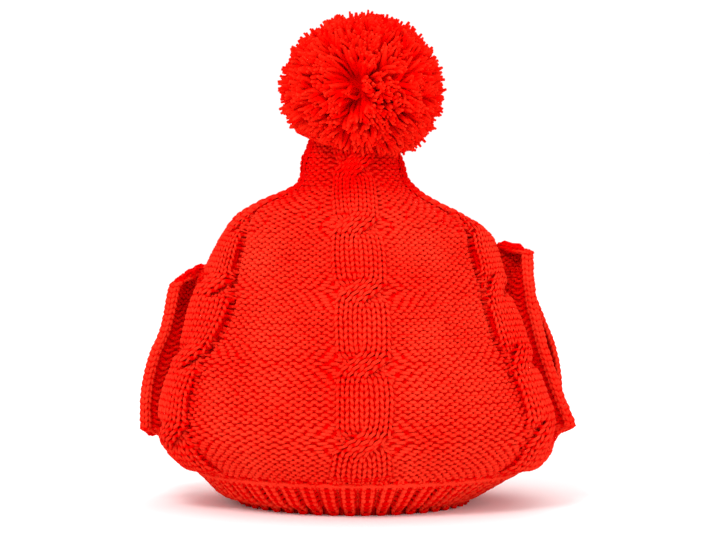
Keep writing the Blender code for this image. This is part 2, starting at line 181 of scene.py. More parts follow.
# Landmarks up the cloth: the ribbed band ends, it is widest, draws in, gathers, lies in the pompom's
# shade, and is tied together.
BAND_TOP, BELLY, SHOULDER, NECK, SHADED, TIED = 16.0, 45.0, 118.0, 132.0, 138.0, 162.0
FIRST_CROSSING = 8.0  # rows above the band
CROSSING_EVERY = 12.0  # rows
RULER = np.linspace(0, LEVELS[-1][0], 900)
ALONG_CLOTH = np.hypot(np.diff(RULER), np.diff(level("front", RULER)))
CLOTH_UP = np.concatenate([[0], np.cumsum(ALONG_CLOTH)])
CLOTH_UP = (CLOTH_UP - np.interp(BAND_TOP, RULER, CLOTH_UP)) / ROW


def row_of(z):
    return np.interp(z, RULER, CLOTH_UP)


def height_of(row):
    return np.interp(row, CLOTH_UP, RULER)


def from_crossing(row):
    """Rows above the nearest cable crossing, or below it if negative."""
    return (row - FIRST_CROSSING + CROSSING_EVERY / 2) % CROSSING_EVERY - CROSSING_EVERY / 2


print("rows from hem to top:", round(CLOTH_UP[0], 1), "to", round(CLOTH_UP[-1], 1))

# %% [markdown]
# ## Slit edges
#
# Knitted cloth curls at a free edge. Along each slit the last three stitches roll round into a bead,
# and the purl stitches beside it sink into a deep groove. Where a slit closes, they all lie flat.

# %% Slit tables
LIP_COLUMNS = ("z", "reach")  # how far out the rolled edge reaches, level by level
SPOUT_LIP = (
    (30.0, 97.0), (36.0, 101.8), (44.0, 102.0), (52.0, 101.6), (62.0, 99.8), (71.0, 97.2),
    (80.0, 93.2), (90.0, 90.6), (99.0, 89.0), (104.0, 87.4), (108.0, 84.5), (114.0, 79.5),
)
HANDLE_LIP = (
    (30.0, 98.0), (37.0, 102.0), (43.0, 100.0), (50.0, 97.0), (60.0, 93.4), (72.0, 89.5),
    (84.0, 86.4), (96.0, 83.6), (110.0, 82.2), (121.0, 81.8),
)
HANDLE_LIP_BACK = (
    (30.0, 96.0), (37.0, 98.0), (50.0, 97.8), (60.0, 97.0), (72.0, 94.4), (84.0, 89.8),
    (96.0, 85.0), (110.0, 80.5), (121.0, 79.0),
)
SLITS = {  # from which height, to which height, and the edge between
    ("front", "spout"): (30.5, 110.5, SPOUT_LIP),
    ("back", "spout"): (31.0, 111.0, SPOUT_LIP),
    ("front", "handle"): (31.5, 121.0, HANDLE_LIP),
    ("back", "handle"): (32.0, 117.0, HANDLE_LIP_BACK),
}
SLIT_GAP = {"spout": 25.0, "handle": 17.0}  # clear width between the two panels' edges
SLIT_OPENS_IN = 5.0  # the edge turns out over this height at the bottom of a slit
SLIT_CLOSES_IN = {"spout": 7.5, "handle": 2.8}  # and back over this height at its top
print("slits:", {hand + " " + side: slit[:2] for (side, hand), slit in SLITS.items()})

# %% [markdown]
# ## From cloth coordinates to space
#
# A place runs from 0 to 9 across a panel, one for each of its nine strips: rolled edge, purl margin,
# side cable, purl ground, centre cable, and the same again. Together with a height it names one point
# of the cloth, wherever the cloth goes.

# %% The oval
HANDS = {"front": ("spout", "handle"), "back": ("handle", "spout")}  # what is left and right of a panel
STRIPS = ("roll", "margin", "cable", "ground", "cable", "ground", "cable", "margin", "roll")


def quarter_arc(half_width, depth):
    """Length of a quarter of an oval, near enough for one that is almost round."""
    lean = (half_width - depth) / (half_width + depth)
    return (half_width + depth) / 2 * (math.pi / 2) * (1 + lean * lean / 4)


def oval_point(arc, half_width, depth, quarter, lens):
    """A point of a quarter oval, arc millimetres away from the middle of the panel."""
    lean = (half_width - depth) / (half_width + depth)
    turn = (math.pi / 2) * (1 - arc / quarter)
    angle = turn + lean / 2 * np.sin(2 * turn)
    across = np.cos(angle) * (1 - lens) + (1 - np.sin(angle)) * lens
    return half_width * across, -depth * np.sin(angle)


print("a quarter of the belly:", round(quarter_arc(95.0, 77.5)), "mm")

# %% The borders between the strips
PINCH = 0.14  # a cable is this share narrower than its mean at a crossing, and wider between
PINCH_ROWS = 2.3  # rows from a crossing within which it is pinched
PINCH_BEGINS_IN = 5.0  # above the band, which has no cables to pinch
ROLL_SHARE = 3 / 8  # stitches of the rolled edge among those beyond the side cable
STRAYS = {"front": 1, "back": -0.6}  # which way the centre cable strays, and how much


def strip_borders(side, z, pinch=PINCH):
    """Arcs from the panel's middle to the ten borders between its strips, and both quarter arcs."""
    deep = level(side, z)
    near = hump(from_crossing(row_of(z)) / PINCH_ROWS)
    swell = 1 + (PINCH - 2 * pinch * near) * ease((z - BAND_TOP) / PINCH_BEGINS_IN)
    sides, quarters = [], []
    for hand in HANDS[side]:
        quarter = quarter_arc(level(hand + "_side", z), deep)
        edge, cable = width("edge_" + hand, z), width("cable_" + hand, z)
        middle = quarter - edge - cable / 2
        outer, inner = middle + cable / 2 * swell, middle - cable / 2 * swell
        sides.append([quarter, quarter - edge * ROLL_SHARE, outer, inner])
        quarters.append(quarter)
    # The middle is drawn together where the panel is lens-shaped, so more cloth lies in the same width.
    drawn = 1 - width("lens", z)
    shift = width("centre_shift", z) * STRAYS[side] / drawn
    half = width("centre_half", z) * swell / drawn
    centre = [shift - half, shift + half]
    return [-arc for arc in sides[0]] + centre + sides[1][::-1], quarters


print("borders at 50 mm:", [round(float(b[0])) for b in strip_borders("front", np.array([50.0]))[0]])

# %% Groove and bead
BEAD = 3.3  # outer radius of the rolled edge
BEAD_START = math.radians(-22)  # where the roll begins, from straight out
BEAD_TURN = math.radians(235)  # and how far it goes round
GROOVE = 8.5  # how far inward the groove is pulled, as cloth that hangs between two stiff edges


def lip_point(side, hand, from_edge, z, edge_x, edge_y):
    """Outer face along a slit: up from the groove, then round the rolled edge. Drawn for the left."""
    low, high, lip = SLITS[(side, hand)]
    bead_x = smooth(lip, LIP_COLUMNS, "reach", z) - BEAD
    bead_y = -(SLIT_GAP[hand] / 2 + BEAD)
    turn = BEAD_START - BEAD_TURN * np.clip(1 - from_edge, 0, 1)
    start_x = -bead_x + BEAD * math.cos(BEAD_START)
    start_y = bead_y + BEAD * math.sin(BEAD_START)
    middle_x, middle_y = (start_x - edge_x) / 2, (start_y + edge_y) / 2
    across = np.hypot(start_x + edge_x, start_y - edge_y)
    pull_x = middle_x + (start_y - edge_y) / across * 2 * GROOVE
    pull_y = middle_y - (start_x + edge_x) / across * 2 * GROOVE
    t = np.clip(2 - from_edge, 0, 1)
    groove_x = -edge_x * (1 - t) ** 2 + 2 * pull_x * t * (1 - t) + start_x * t * t
    groove_y = edge_y * (1 - t) ** 2 + 2 * pull_y * t * (1 - t) + start_y * t * t
    rolled = from_edge < 1
    x = np.where(rolled, -bead_x + BEAD * np.cos(turn), groove_x)
    y = np.where(rolled, bead_y + BEAD * np.sin(turn), groove_y)
    opened = ease((z - low) / SLIT_OPENS_IN) * ease((high - z) / SLIT_CLOSES_IN[hand])
    return x, y, np.where(from_edge < 2, opened, 0)


print("rolled edge:", 2 * BEAD, "mm thick")

# %% Hollows, ditches and the gather
# Stretched cloth is never quite even, and purl stitches sink where knit stitches pull them back.
WAVES = ((0.7, 2.1, 0.045, 0.0), (0.5, 3.7, -0.08, 1.3))  # height, turn a place, turn a mm, start
DITCH_AT = 0.024  # the ditch is this share of the ground away from a side cable
DITCH_DEPTH = 4.2
CENTRE = 4.5  # place of the panel's middle line
# A fold's distance from the middle line and its half width, in places, and then its depth.
GATHER = (0.72, 0.22, 2.2)
CREASE = (0.57, 0.06, 1.3)


def fold(place, shape):
    """Depth of a fold that runs up both halves of the panel, at each place."""
    at, half, depth = shape
    return depth * hump((np.abs(place - CENTRE) - at) / half)


def lie_of_cloth(place, z):
    """How far out the cloth lies from its even form, at each place and height."""
    body = ease((z - BAND_TOP) / 4) * (1 - ease((z - TIED) / 6))
    uneven = sum(size * np.sin(place * a + z * b + start) for size, a, b, start in WAVES) * body
    # The ditch is shallow at the stretched belly, gone at the neck, and bridged at a crossing.
    inside = np.maximum(1.5 - np.abs(place - CENTRE), 0) / DITCH_AT
    deep = (0.2 + 0.8 * ease((z - BELLY) / 50)) * body * (1 - ease((z - SHADED) / 10))
    deep = deep * (1 - 0.5 * hump(from_crossing(row_of(z)) / 1.5))
    ditch = -DITCH_DEPTH * inside * np.exp(0.5 - 0.5 * inside**2) * deep
    drawn_in = -fold(place, GATHER) * ease((z - NECK) / 12) - fold(place, CREASE) * body
    return (uneven + drawn_in + ditch) * ease(np.minimum(place, 9 - place) / 1.2)


print("out of the even form:", lie_of_cloth(np.linspace(0, 9, 10), np.array([90.0])).round(1))

# %% The cloth's surface, bare of stitches
SEAM_HALF_GAP = 0.2  # each panel stops this far from the seam plane
PINCH_REACH = 0.16  # of the ground's stitches, those that follow a cable's pinch


def bare_cloth(side, place, z):
    """Points in millimetres on the outer face of a panel, before any stitch stands up from it."""
    deep = level(side, z)
    wide = [level(hand + "_side", z) for hand in HANDS[side]]
    borders, quarters = strip_borders(side, z)
    calm, _ = strip_borders(side, z, pinch=0.0)
    lens = width("lens", z)
    arc = np.zeros_like(place)
    for k in range(9):
        part = np.clip(place - k, 0, 1)
        across = borders[k] * (1 - part) + borders[k + 1] * part
        if k in (3, 5):
            # Only the stitches next to a cable follow its pinch; the rest of the ground lies straight.
            across = calm[k] * (1 - part) + calm[k + 1] * part
            across += (borders[k] - calm[k]) * (1 - ease(part / PINCH_REACH))
            across += (borders[k + 1] - calm[k + 1]) * ease((part - (1 - PINCH_REACH)) / PINCH_REACH)
        arc = np.where(place >= k, across, arc)
    left = arc < 0
    half_width = np.where(left, wide[0], wide[1])
    x, y = oval_point(np.abs(arc), half_width, deep, np.where(left, quarters[0], quarters[1]), lens)
    x, y = x * np.where(left, -1, 1), y - SEAM_HALF_GAP
    nx, ny = x / half_width**2, y / deep**2
    out = lie_of_cloth(place, z) / np.hypot(nx, ny)
    x, y = x + nx * out, y + ny * out
    for i, (hand, way) in enumerate(zip(HANDS[side], (-1, 1))):
        border = np.abs(borders[2 if way < 0 else 7])
        edge_x, edge_y = oval_point(border, wide[i], deep, quarters[i], lens)
        from_edge = place if way < 0 else 9 - place
        lip_x, lip_y, share = lip_point(side, hand, from_edge, z, edge_x, edge_y)
        x = x * (1 - share) - way * lip_x * share
        y = y * (1 - share) + lip_y * share
    turn = 1 if side == "front" else -1
    return np.stack([turn * x, turn * y, z], -1)


print("front of the belly:", bare_cloth("front", CENTRE, np.array([BELLY]))[0].round(1))

# %% A point off the cloth
# The way out is the cross product of two short steps on the cloth, so it works where the cloth rolls.
STEP_ACROSS = 0.02
STEP_UP = 0.4


def ledge(row):
    """Where the band turns into the body its last row stands out a little."""
    return hump((row + 0.7) / 0.9)


def cloth_point(side, place, row, lift):
    """A point lift millimetres out from the outer face, at a place and a row."""
    lift = np.asarray(lift) + ledge(row)
    place, z = np.clip(place, 0, 9), height_of(row)
    here = bare_cloth(side, place, z)
    right = bare_cloth(side, np.minimum(place + STEP_ACROSS, 9), z)
    across = right - bare_cloth(side, np.maximum(place - STEP_ACROSS, 0), z)
    up = bare_cloth(side, place, z + STEP_UP) - bare_cloth(side, place, z - STEP_UP)
    out = np.cross(across, up)
    out /= np.maximum(np.linalg.norm(out, axis=-1, keepdims=True), 1e-9)
    return here + out * lift[..., None]


def place_of(side, share, z):
    """The place at a share of the way round from the panel's middle, -1 to 1."""
    borders, quarters = strip_borders(side, z)
    arc = share * np.where(share < 0, quarters[0], quarters[1])
    return sum(np.clip((arc - borders[k]) / (borders[k + 1] - borders[k]), 0, 1) for k in range(9))


print("front middle at row 20:", cloth_point("front", CENTRE, np.array([20.0]), 0.0)[0].round(1))

# %% [markdown]
# ## Cables
#
# A cable is six knit stitches. Every twelve rows the left three are worked before the right three, so
# that strand climbs over its neighbour. Between crossings the six stitches swell into one lobe. Strand
# heights are kept apart, so the lower strand truly dives under.

# %% Where a cable stitch lies
CABLE_RELIEF = 3.2
CLIMB = 0.6  # the upper strand rises this much more where it crosses
SWAP = 2.2  # rows before and after a crossing in which the strands change places
OVER_ROWS = 1.8  # rows from a crossing in which one strand lies over the other
DIVE_ROWS = 1.9  # and in which the other stays down
SPREAD = 0.34  # how much wider a strand is where it crosses
SIDE_RELIEF = 1.3  # the cables beside the slits stand higher than the middle one, and sink at the neck


def cable_stitch(column, share, row, crossing):
    """Place across a cable, from 0 to 1, and height, of the stitch in one of its six columns."""
    off = row - crossing
    in_strand = (column % 3 + share) / 3
    climbs = column < 3
    swing = 0.25 * np.sin(np.clip(off / SWAP, -1, 1) * math.pi / 2)
    over = hump(off / OVER_ROWS)
    across = 0.5 + np.where(climbs, swing, -swing) + (in_strand - 0.5) * (0.5 + SPREAD * over)
    lobe = CABLE_RELIEF * np.sqrt(np.clip(1 - ((across - 0.5) / 0.53) ** 2, 0, 1))
    arch = np.sqrt(np.clip(1 - ((in_strand - 0.5) / 0.56) ** 2, 0, 1))
    climbing = lobe * (1 - over) + arch * (CABLE_RELIEF + CLIMB) * over
    # The lower strand dives steeply beside the climbing one, and its outer edge comes up first.
    outer = np.where(off < 0, in_strand, 1 - in_strand)
    dive = hump((np.abs(off) + 0.9 * (outer - 0.5)) / DIVE_ROWS, 4)
    return across, np.where(climbs, climbing, lobe * (1 - dive))


def relief_of(k, row):
    """How much higher than the middle cable the cable in strip k stands, at a row."""
    return 1.0 if k == 4 else SIDE_RELIEF * (1 - 0.65 * ease((row - row_of(SHOULDER)) / 9))


print("a crossing turns in", round(2 * SWAP * ROW), "mm of cloth")

# %% [markdown]
# ## Which stitches a row has
#
# The panel narrows to the neck, so stitches are worked away on the way up. Each one has the row at
# which it goes, and its neighbours close up over three rows. Only the cables keep all of theirs.

# %% Stitch map of a row
HEM_ROW = -7
TOP_ROW = int(row_of(169.0))
STITCHES = {"roll": 3, "margin": 5, "cable": 6, "ground": 15}
# The row at which each stitch of a strip is worked away; 99 is never.
FADES = {
    "ground": (99, 24, 47, 43, 50, 45, 99, 99, 99, 46, 53, 44, 48, 31, 99),
    "margin": (46, 41, 44, 38, 99),
    "roll": (39, 50, 44),
}


def faded_place(name, column, share, row, mirrored):
    """Place across a strip, from 0 to 1, where some of its stitches are worked away toward the neck."""
    fades = np.array(FADES[name][::-1] if mirrored else FADES[name], float)
    weight = np.clip((fades[None, :] - row[:, None]) / 3 + 0.5, 0.0, 1)
    before = np.concatenate([np.zeros((len(row), 1)), np.cumsum(weight, 1)], 1)
    at = np.arange(len(row))
    return (before[at, column] + weight[at, column] * share) / np.maximum(before[:, -1], 0.01)


def stitches_of_row(row):
    """The stitches of one row, from left to right: strip, column, and 1 for knit or -1 for purl."""
    found = []
    for k, name in enumerate(STRIPS):
        for column in range(STITCHES[name]):
            if name in FADES:
                fade = FADES[name][::-1][column] if k > 4 else FADES[name][column]
                if row + 0.5 > fade:
                    continue
            found.append((k, column, 1 if name in ("roll", "cable") else -1))
    return np.array(found)


print("stitches in row 10:", len(stitches_of_row(10)), "and in row 50:", len(stitches_of_row(50)))

# %% [markdown]
# ## One stitch
#
# Seen flat, a stitch is a loop: the yarn comes across the bottom of its neighbour, climbs a leg, rounds
# the head and comes down the other leg. Three sines draw it. The legs stand forward on a knit stitch,
# the head and foot on a purl one. This cosy was begun at the pompom, so the loops hang head down. No
# knitter's hand is quite even, so each stitch gets a small random shift.

# %% The loop of a stitch
LOOP_POINTS = 12
LOOP_HEIGHT = 0.78  # rows, from the middle of a stitch to its head
# How far the legs lean, in stitch widths
LOOP_WAIST = {"roll": 0.25, "margin": 0.25, "cable": 0.21, "ground": 0.25, "rib": 0.11}
LOOP_DEPTH = {"knit": 0.62, "purl": 0.90}
UNEVEN = {"rise": 0.11, "share": 0.06, "depth": 0.2, "thickness": 0.1}
SEED = 11
knitters_hand = np.random.default_rng(SEED)


def loop(waists):
    """Turn, sideways share and rise of the yarn; waists has one number for each stitch."""
    turn = np.tile((np.arange(LOOP_POINTS) + 0.5) / LOOP_POINTS * 2 * math.pi, len(waists))
    share = turn / (2 * math.pi) + np.repeat(waists, LOOP_POINTS) * np.sin(2 * turn)
    return turn, share, 0.5 + LOOP_HEIGHT * np.cos(turn)


def by_hand(turn, what):
    """A small random shift for each stitch, nothing where it joins its neighbours."""
    each = knitters_hand.uniform(-1, 1, len(turn) // LOOP_POINTS) * UNEVEN[what]
    return np.repeat(each, LOOP_POINTS) * np.sin(turn / 2) ** 2


def depth_of_loop(turn, face):
    """How far forward the yarn is: knit legs and purl heads stand out, and neighbours blend."""
    each = face.reshape(-1, LOOP_POINTS)[:, 0]
    before, after = np.concatenate([each[:1], each[:-1]]), np.concatenate([each[1:], each[-1:]])
    before, after = np.repeat(before, LOOP_POINTS), np.repeat(after, LOOP_POINTS)
    near_start, near_end = ease(1 - turn / 1.2) / 2, ease(1 - (2 * math.pi - turn) / 1.2) / 2
    blended = face + (before - face) * near_start + (after - face) * near_end
    depth = np.where(face > 0, LOOP_DEPTH["knit"], LOOP_DEPTH["purl"])
    return -blended * depth * np.cos(2 * turn) + by_hand(turn, "depth")


def yarn_line(points, turn, face, thickness):
    """A path with its thickness, and its painted light: 1, a painted highlight, where the yarn comes to
    the front.
    """
    # Painted light: lighter where the yarn comes to the front, as a painted highlight, and deeper where
    # it lies back, as painted shade.
    painted_light = 0.5 - 0.5 * face * np.cos(2 * turn)
    return points, thickness + by_hand(turn, "thickness"), painted_light


print("one stitch rises", round(2 * LOOP_HEIGHT * ROW, 1), "mm, so it reaches into the next row")

# %% [markdown]
# ## One row of the body
#
# A row is one line of points from edge to edge, as it is one length of yarn. Beside a crossing the
# ground's stitches reach a little under the cable, which hides where they end.

# %% A row of the body
YARN = 1.8  # diameter
THICKNESS = {"roll": 1.05, "margin": 0.95, "cable": 0.94, "ground": 0.94, "rib": 1.42}  # times that
MIDDLE = -1.45  # the knit's middle lies this far inside the outer face
TUCK = 0.12  # purl stitches reach this far under a cable where it narrows
FULL_STITCH = 3.7  # width at which a cable's stitch takes its full yarn
SHEEN_PAINTED_BY_STITCH = {"knit": 0.86, "purl": 0.9}  # painted highlight: how light knit and purl are painted where they come forward
LESS_IN_GROOVE, LESS_IN_SHADE = 0.3, 0.3  # and how much less of it, as painted shade, in the groove and in the pompom's shade
LESS_IN_DITCH = (1.475, 0.03, 0.15)  # and painted shade in the ditches, given as a fold


def body_row(side, row):
    """Points of the yarn along one row of the body."""
    stitches = stitches_of_row(row)
    names = [STRIPS[k] for k in stitches[:, 0]]
    turn, share, rise = loop([LOOP_WAIST[name] for name in names])
    strip, column, face = (np.repeat(stitches[:, i], LOOP_POINTS) for i in range(3))
    at_row = row + rise + by_hand(turn, "rise")
    share = share + by_hand(turn, "share")
    place, lift = np.zeros(len(turn)), np.zeros(len(turn))
    crossing = FIRST_CROSSING + CROSSING_EVERY * round((row + 0.5 - FIRST_CROSSING) / CROSSING_EVERY)
    body = ease(row / 2)
    tuck = TUCK * hump((at_row - crossing) / 2.0)
    for k, name in enumerate(STRIPS):
        here = strip == k
        left, right = (tuck[here] * (0 <= n < 9 and STRIPS[n] == "cable") for n in (k - 1, k + 1))
        if name == "cable":
            across, height = cable_stitch(column[here], share[here], at_row[here], crossing)
            place[here], lift[here] = k + across, height * body * relief_of(k, at_row[here])
        else:
            within = faded_place(name, column[here], share[here], at_row[here], k > 4)
            place[here] = k - left + within * (1 + left + right)
    points = cloth_point(side, place, at_row, lift + MIDDLE + depth_of_loop(turn, face))
    thickness = np.repeat([THICKNESS[name] for name in names], LOOP_POINTS)
    for k, hand in ((2, HANDS[side][0]), (6, HANDS[side][1])):
        stitch = width("cable_" + hand, height_of(at_row)) / STITCHES["cable"]
        squeezed = np.clip(stitch / FULL_STITCH, 0.55, 1)
        thickness = np.where(strip == k, thickness * squeezed, thickness)
    points, thickness, painted_light = yarn_line(points, turn, face, thickness)
    # Painted light: a painted highlight where the yarn comes forward, less of it as painted shade in
    # the ditches, the grooves and the neck.
    sheen_less_ditch_shade = np.where(face > 0, SHEEN_PAINTED_BY_STITCH["knit"], SHEEN_PAINTED_BY_STITCH["purl"]) - fold(place, LESS_IN_DITCH)
    shaded = LESS_IN_SHADE * ease((height_of(at_row) - SHADED) / 12)
    return points, thickness, painted_light * (sheen_less_ditch_shade - LESS_IN_GROOVE * np.isin(strip, (1, 7)) - shaded)


print("yarn points in a row:", len(body_row("front", 10)[0]))

# %% [markdown]
# ## One row of the ribbed band
#
# Knit one, purl one, all the way round: the knit stitches draw together into standing ribs and the purl
# ones sink between them. A line of yarn inside each rib keeps it full, where loops alone leave a slot.
# Where the band turns into the body, one ridge of yarn runs round.

# %% A row of the band, and what fills it
RIBS = 23  # knit-and-purl pairs across a panel
RIB_RELIEF = 1.25
RIB_SPREAD = 0.22  # a rib's knit stitch spreads over its purl neighbours by this share
RIBS_SINK_IN = 2.4  # rows below the body over which the ribs take their full depth
TURNING_ROW = -0.3


def band_row(side, row):
    """Points of the yarn along one row of the ribbed band: knit one, purl one, evenly round."""
    count = 2 * RIBS + 1
    turn, share, rise = loop(np.full(count, LOOP_WAIST["rib"]))
    column = np.repeat(np.arange(count), LOOP_POINTS)
    face = np.where(column % 2 == 0, 1, -1)
    # Half ribs from the panel's middle, which is a purl stitch; both ends are half a knit stitch.
    ribs = column + share - 0.5 - RIBS
    spread = ribs - RIB_SPREAD * np.sin(ribs * math.pi)
    at_row = row + rise
    place = place_of(side, np.clip(spread / RIBS, -1, 1), height_of(at_row))
    sunk = RIB_RELIEF * ease(-at_row / RIBS_SINK_IN)
    lift = MIDDLE + depth_of_loop(turn, face) * 0.35 - sunk * (1.35 * np.cos(ribs * math.pi) + 0.45)
    points = cloth_point(side, place, at_row, lift)
    points[:, 2] = np.maximum(points[:, 2], YARN / 2)
    points, thickness, painted_light = yarn_line(points, turn, face, THICKNESS["rib"])
    half = LOOP_POINTS // 2
    return points[half:-half], thickness[half:-half], painted_light[half:-half]


def rib_heart(side, rib):
    """The yarn between the two legs of a rib's stitches, from hem to body; it keeps the rib full."""
    rows = np.arange(HEM_ROW + 0.3, -0.4, 0.6)
    place = place_of(side, rib / RIBS, height_of(rows))
    sunk = RIB_RELIEF * ease(-rows / RIBS_SINK_IN)
    points = cloth_point(side, place, rows, MIDDLE - 0.9 + 0.9 * sunk)
    points[:, 2] = np.maximum(points[:, 2], YARN / 2)
    # Its painted light is low: painted shade for yarn that lies deep in the rib.
    return points, np.full(len(rows), 1.3), np.full(len(rows), 0.3)


def turning_row(side, row):
    """The smooth ridge where the ribs turn into the body, pulled wavy by the ribs."""
    share = np.linspace(-1, 1, 12 * RIBS)
    wave = np.cos(share * RIBS * math.pi)
    at_row = row - 0.1 * wave
    place = place_of(side, share, height_of(at_row))
    points = cloth_point(side, place, at_row, -0.9 - 0.2 * wave)
    # The ridge gets a strong painted highlight.
    return points, 1.1 - 0.1 * wave, np.full(len(share), 0.85)


print("ribs across a panel:", RIBS)

# %% [markdown]
# ## From a path to yarn
#
# A path is only a line of points. Geometry Nodes turn it into yarn: Mesh to Curve makes a spline of
# each line, and Curve to Mesh sweeps a small circle along it. One tree serves every row and every
# strand of the pompom: diameter and number of sides are its inputs, and an attribute called thickness
# lets a strand taper. It ends with Realize Instances and Set Material, so the result is a plain mesh.

# %% One small helper for nodes


def add_node(tree, kind, sockets=None, **settings):
    """Adds a node, sets its settings, and links or sets the sockets that are named."""
    made = tree.nodes.new(kind)
    for name, value in settings.items():
        setattr(made, name, value)
    for name, value in (sockets or {}).items():
        if isinstance(value, bpy.types.NodeSocket):
            tree.links.new(value, made.inputs[name])
        else:
            made.inputs[name].default_value = value
    return made


# %% The yarn tree


def build_yarn_tree():
    tree = bpy.data.node_groups.new("Yarn along a path", "GeometryNodeTree")
    for name, kind, way in (
        ("Geometry", "NodeSocketGeometry", "INPUT"),
        ("Diameter", "NodeSocketFloat", "INPUT"),
        ("Sides", "NodeSocketInt", "INPUT"),
        ("Material", "NodeSocketMaterial", "INPUT"),
        ("Geometry", "NodeSocketGeometry", "OUTPUT"),
    ):
        tree.interface.new_socket(name, in_out=way, socket_type=kind)
    given = add_node(tree, "NodeGroupInput").outputs
    path = add_node(tree, "GeometryNodeMeshToCurve", {"Mesh": given["Geometry"]})
    half = add_node(tree, "ShaderNodeMath", {0: given["Diameter"], 1: 0.5}, operation="MULTIPLY")
    round_section = {"Resolution": given["Sides"], "Radius": half.outputs[0]}
    ring = add_node(tree, "GeometryNodeCurvePrimitiveCircle", round_section)
    taper = add_node(tree, "GeometryNodeInputNamedAttribute", {"Name": "thickness"}, data_type="FLOAT")
    swept = {"Curve": path.outputs[0], "Profile Curve": ring.outputs["Curve"]}
    swept |= {"Scale": taper.outputs["Attribute"], "Fill Caps": True}
    tube = add_node(tree, "GeometryNodeCurveToMesh", swept)
    soft = add_node(tree, "GeometryNodeSetShadeSmooth", {"Geometry": tube.outputs[0]})
    real = add_node(tree, "GeometryNodeRealizeInstances", {"Geometry": soft.outputs[0]})
    finish = {"Geometry": real.outputs[0], "Material": given["Material"]}
    dyed = add_node(tree, "GeometryNodeSetMaterial", finish)
    add_node(tree, "NodeGroupOutput", {"Geometry": dyed.outputs[0]})
    return tree


yarn_tree = build_yarn_tree()
print("yarn tree:", len(yarn_tree.nodes), "nodes")

# %% Lines of points to a piece of yarn
SIDES = 4  # of the yarn's section; smooth shading rounds it


def yarn_piece(name, lines, diameter, material):
    """Sweeps yarn along lines of (points, thickness, painted light), as one plain mesh object."""
    points, thickness, painted_light = (np.concatenate(each) for each in zip(*lines))
    edges, first = [], 0
    for line, _, _ in lines:
        at = np.arange(first, first + len(line) - 1)
        edges.append(np.stack([at, at + 1], 1))
        first += len(line)
    mesh = bpy.data.meshes.new(name + "_path")
    mesh.from_pydata((points * MM).tolist(), np.concatenate(edges).tolist(), [])
    # The second attribute carries the painted light, painted highlight toward 1 and painted shade
    # toward 0.
    for attribute, value in (("thickness", thickness), ("painted_light", painted_light)):
        mesh.attributes.new(attribute, "FLOAT", "POINT").data.foreach_set("value", value)
    piece = put(name, mesh)
    sweep = piece.modifiers.new("Yarn", "NODES")
    sweep.node_group = yarn_tree
    sockets = {s.name: s.identifier for s in yarn_tree.interface.items_tree if s.in_out == "INPUT"}
    sweep[sockets["Diameter"]] = diameter * MM
    sweep[sockets["Sides"]] = SIDES
    sweep[sockets["Material"]] = material
    graph = bpy.context.evaluated_depsgraph_get()
    swept = bpy.data.meshes.new_from_object(piece.evaluated_get(graph))
    piece.modifiers.clear()
    piece.data = swept
    swept.name = name
    triangles = sum(len(face.vertices) - 2 for face in swept.polygons)
    print(name, len(lines), "lines,", triangles, "triangles")
    return piece


# %% [markdown]
# ## The yarn
#
# Double-knitting acrylic is spun from crimped fibre and dyed in the mass, so its colour is strong and
# even. Fine fibre ends stand off it where it comes to the front and catch the light. That sheen is
# painted
# into the colour: in Blender a rough Principled shader with next to no gloss, a colour that goes from a
# deep red, painted shade, to a bright one, a painted highlight, as the yarn comes forward, a little
# noise between them, and a fine bump for the fibres.

# %% Colours


def colour(hex_code):
    """An sRGB hex colour as the linear numbers a shader wants."""
    parts = [int(hex_code[i : i + 2], 16) / 255 for i in (1, 3, 5)]
    return [c / 12.92 if c <= 0.04045 else ((c + 0.055) / 1.055) ** 2.4 for c in parts] + [1.0]


print("the knit's bright red:", [round(c, 3) for c in colour("#FF4229")])

# %% Yarn colour with painted sheen and shade
DEEP_AT, BRIGHT_AT = 1.0, 1.62  # noise and painted light together, for the deep red of painted shade and the bright red of painted highlight
DRIFT_MM = 30.0  # slow drifts of shade along the cloth
FIBRE_MM = 0.8  # crimped fibre, drawn as coarse as it needs to show


def acrylic_with_painted_light(name, deep, bright, bump_mm):
    """Acrylic yarn between two reds: deep, as painted shade, where it lies low, and bright, as a
    painted highlight, where it comes to the front.
    """
    material = bpy.data.materials.new(name)
    material.use_nodes = True
    tree = material.node_tree
    shader = tree.nodes["Principled BSDF"]
    shader.inputs["Roughness"].default_value = 0.85
    shader.inputs["Specular IOR Level"].default_value = 0.02
    shader.inputs["Specular Tint"].default_value = colour("#FF8070")
    where = add_node(tree, "ShaderNodeTexCoord").outputs["Object"]
    drift, fibre = (
        add_node(tree, "ShaderNodeTexNoise", {"Vector": where, "Scale": 1 / (mm * MM), "Detail": fine})
        for mm, fine in ((DRIFT_MM, 2.0), (FIBRE_MM, 3.0))
    )
    shades = {0: drift.outputs["Fac"], 1: fibre.outputs["Fac"]}
    noise = add_node(tree, "ShaderNodeMath", shades, operation="ADD")
    # The painted light, with noise, picks between the deep red of painted shade and the bright red of
    # painted highlight.
    painted_light = add_node(tree, "ShaderNodeAttribute", attribute_name="painted_light")
    lit = {0: noise.outputs[0], 1: 0.5, 2: painted_light.outputs["Fac"]}
    both = add_node(tree, "ShaderNodeMath", lit, operation="MULTIPLY_ADD")
    reach = {"Value": both.outputs[0], "From Min": DEEP_AT, "From Max": BRIGHT_AT}
    spread = add_node(tree, "ShaderNodeMapRange", reach)
    # A Mix node keeps its colour sockets at 6 and 7, and its colour result at 2.
    reds = {0: spread.outputs["Result"], 6: colour(deep), 7: colour(bright)}
    shade = add_node(tree, "ShaderNodeMix", reds, data_type="RGBA")
    tree.links.new(shade.outputs[2], shader.inputs["Base Color"])
    rough = {"Height": fibre.outputs["Fac"], "Strength": 0.5, "Distance": bump_mm * MM}
    bump = add_node(tree, "ShaderNodeBump", rough)
    tree.links.new(bump.outputs["Normal"], shader.inputs["Normal"])
    return material


